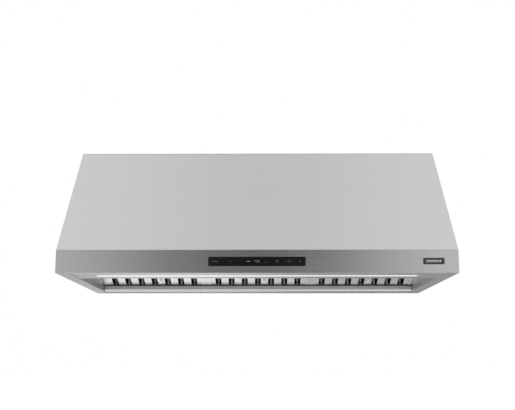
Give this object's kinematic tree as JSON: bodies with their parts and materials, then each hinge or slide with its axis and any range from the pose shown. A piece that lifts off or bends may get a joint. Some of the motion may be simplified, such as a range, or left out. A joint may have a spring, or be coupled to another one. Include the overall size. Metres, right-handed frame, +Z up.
{
  "type": "under cabinet range hood",
  "caption": "Wide under cabinet range hood in brushed steel with a sloping front, baffle filters, a grease tray, a light strip and a blower.",
  "frame": {"origin": "on the wall face of the back panel, at mid width and at the height of the wall screws, 400 mm above the bottom rim", "axes": "+X to the right for someone facing the hood, +Y into the wall, +Z up"},
  "size_m": [1.2192, 0.6111, 0.4572],
  "materials": {
    "brushed_steel": "satin brushed, grain along the width",
    "inner_steel": "satin",
    "filter_steel": "bright satin",
    "galvanized_steel": "spangled zinc",
    "aluminium": "satin",
    "black_glass": "polished",
    "opal_plastic": "satin diffuser",
    "dark_plate": "satin",
    "black_plastic": "moulded",
    "circuit_board": "solder mask",
    "motor_shell": "painted die casting",
    "spring_steel": "bright",
    "magnet": "matt ferrite",
    "cable": "matt sheath"
  },
  "bodies": {
    "hood": {"canopy_slope": "brushed_steel", "control_fascia": "brushed_steel", "side_panel_left": "brushed_steel", "side_panel_right": "brushed_steel", "light_panel": "brushed_steel", "front_liner": "inner_steel", "side_liner_left": "inner_steel", "side_liner_right": "inner_steel", "filter_hinge_rail": "inner_steel", "filter_stop_rail": "inner_steel", "back_panel": "galvanized_steel", "top_panel": "galvanized_steel", "scroll_casing_left": "galvanized_steel", "scroll_casing_right": "galvanized_steel", "motor_cradle": "galvanized_steel", "blower_plenum": "galvanized_steel", "outlet_collar": "galvanized_steel", "junction_box": "galvanized_steel", "junction_cover": "galvanized_steel", "led_channel": "aluminium", "led_driver": "aluminium", "run_capacitor": "aluminium", "touch_glass": "black_glass", "led_lens": "opal_plastic", "badge_plate": "dark_plate", "control_housing": "black_plastic", "control_board": "circuit_board", "led_board": "circuit_board", "motor": "motor_shell", "tray_clip_left": "spring_steel", "tray_clip_right": "spring_steel", "damper_rod_front": "spring_steel", "damper_rod_rear": "spring_steel", "catch_magnet_1": "magnet", "catch_magnet_2": "magnet", "catch_magnet_3": "magnet", "control_harness": "cable", "led_lead": "cable", "motor_lead": "cable"},
    "filter_1": {"filter_1_frame": "filter_steel", "filter_1_lower_baffles": "filter_steel", "filter_1_upper_baffles": "filter_steel", "filter_1_knob": "filter_steel", "filter_1_hinge_rod": "spring_steel"},
    "filter_2": {"filter_2_frame": "filter_steel", "filter_2_lower_baffles": "filter_steel", "filter_2_upper_baffles": "filter_steel", "filter_2_knob": "filter_steel", "filter_2_hinge_rod": "spring_steel"},
    "filter_3": {"filter_3_frame": "filter_steel", "filter_3_lower_baffles": "filter_steel", "filter_3_upper_baffles": "filter_steel", "filter_3_knob": "filter_steel", "filter_3_hinge_rod": "spring_steel"},
    "tray": {"grease_tray": "inner_steel"},
    "blower_rotor": {"impeller_left": "galvanized_steel", "impeller_right": "galvanized_steel", "blower_shaft": "spring_steel"},
    "damper_front": {"damper_flap_front": "aluminium"},
    "damper_rear": {"damper_flap_rear": "aluminium"}
  },
  "joints": [
    {"name": "filter_1_swing", "type": "hinge", "parent": "hood", "child": "filter_1", "pos_m": [-0.3823, -0.44248, -0.18762], "axis": [-1, 0, 0], "range_deg": [0, 65]},
    {"name": "filter_2_swing", "type": "hinge", "parent": "hood", "child": "filter_2", "pos_m": [0, -0.44248, -0.18762], "axis": [-1, 0, 0], "range_deg": [0, 65]},
    {"name": "filter_3_swing", "type": "hinge", "parent": "hood", "child": "filter_3", "pos_m": [0.3823, -0.44248, -0.18762], "axis": [-1, 0, 0], "range_deg": [0, 65]},
    {"name": "tray_drop", "type": "slide", "parent": "hood", "child": "tray", "axis": [0, 0, -1], "range_m": [0, 0.06]},
    {"name": "blower_spin", "type": "hinge", "parent": "hood", "child": "blower_rotor", "pos_m": [0, -0.1696, -0.1], "axis": [1, 0, 0], "continuous": true},
    {"name": "damper_front_swing", "type": "hinge", "parent": "hood", "child": "damper_front", "pos_m": [0, -0.16475, 0.0302], "axis": [-1, 0, 0], "range_deg": [0, 75]},
    {"name": "damper_rear_swing", "type": "hinge", "parent": "hood", "child": "damper_rear", "pos_m": [0, -0.15275, 0.0302], "axis": [1, 0, 0], "range_deg": [0, 75]}
  ]
}
